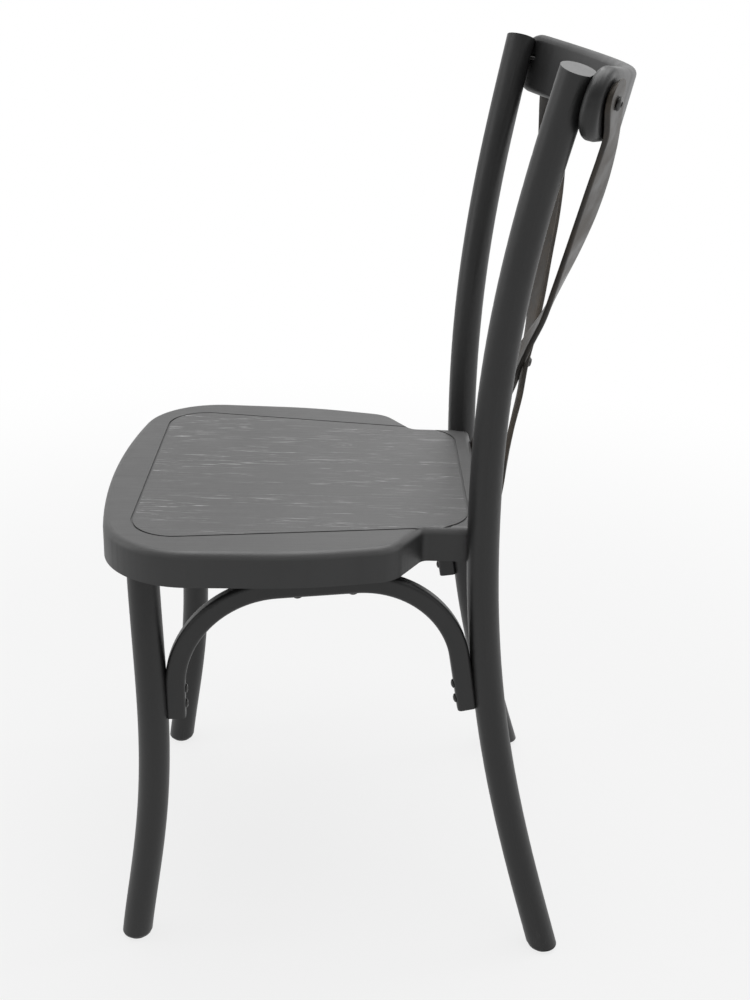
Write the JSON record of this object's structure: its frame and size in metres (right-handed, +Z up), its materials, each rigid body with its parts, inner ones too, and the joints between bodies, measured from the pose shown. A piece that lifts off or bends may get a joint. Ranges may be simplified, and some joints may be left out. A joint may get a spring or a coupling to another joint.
{
  "type": "cross back chair",
  "caption": "Armless dining chair with a moulded seat, round splayed legs, bent side arches, a curved top rail and two crossed back slats.",
  "frame": {"origin": "on the floor, below the middle of the chair's bounding box", "axes": "+Z up, -Y the way the sitter faces, +X the sitter's left"},
  "size_m": [0.47, 0.505, 0.894],
  "materials": {
    "frame_resin": "satin moulded resin, black",
    "seat_resin": "satin moulded resin with a fine grain, black",
    "black_steel": "black coated screws",
    "zinc_steel": "zinc plated",
    "insert_brass": "plain brass",
    "glide_nylon": "dark grey nylon"
  },
  "bodies": {
    "root": {"seat_shell": "seat_resin", "rear_post_left": "frame_resin", "rear_post_right": "frame_resin", "front_leg_left": "frame_resin", "front_leg_right": "frame_resin", "side_arch_left": "frame_resin", "side_arch_right": "frame_resin", "top_rail": "frame_resin", "cross_slat_front": "frame_resin", "cross_slat_rear": "frame_resin", "crossing_screw": "black_steel", "crossing_nut": "black_steel", "rail_screws": "black_steel", "slat_foot_screws": "black_steel", "arch_leg_screws": "black_steel", "arch_post_screws": "black_steel", "arch_seat_screws": "black_steel", "leg_socket_screws": "zinc_steel", "seat_bolts": "zinc_steel", "seat_bolt_washers": "zinc_steel", "post_inserts": "insert_brass", "glide_front_left": "glide_nylon", "glide_front_right": "glide_nylon", "glide_rear_left": "glide_nylon", "glide_rear_right": "glide_nylon"}
  },
  "joints": []
}
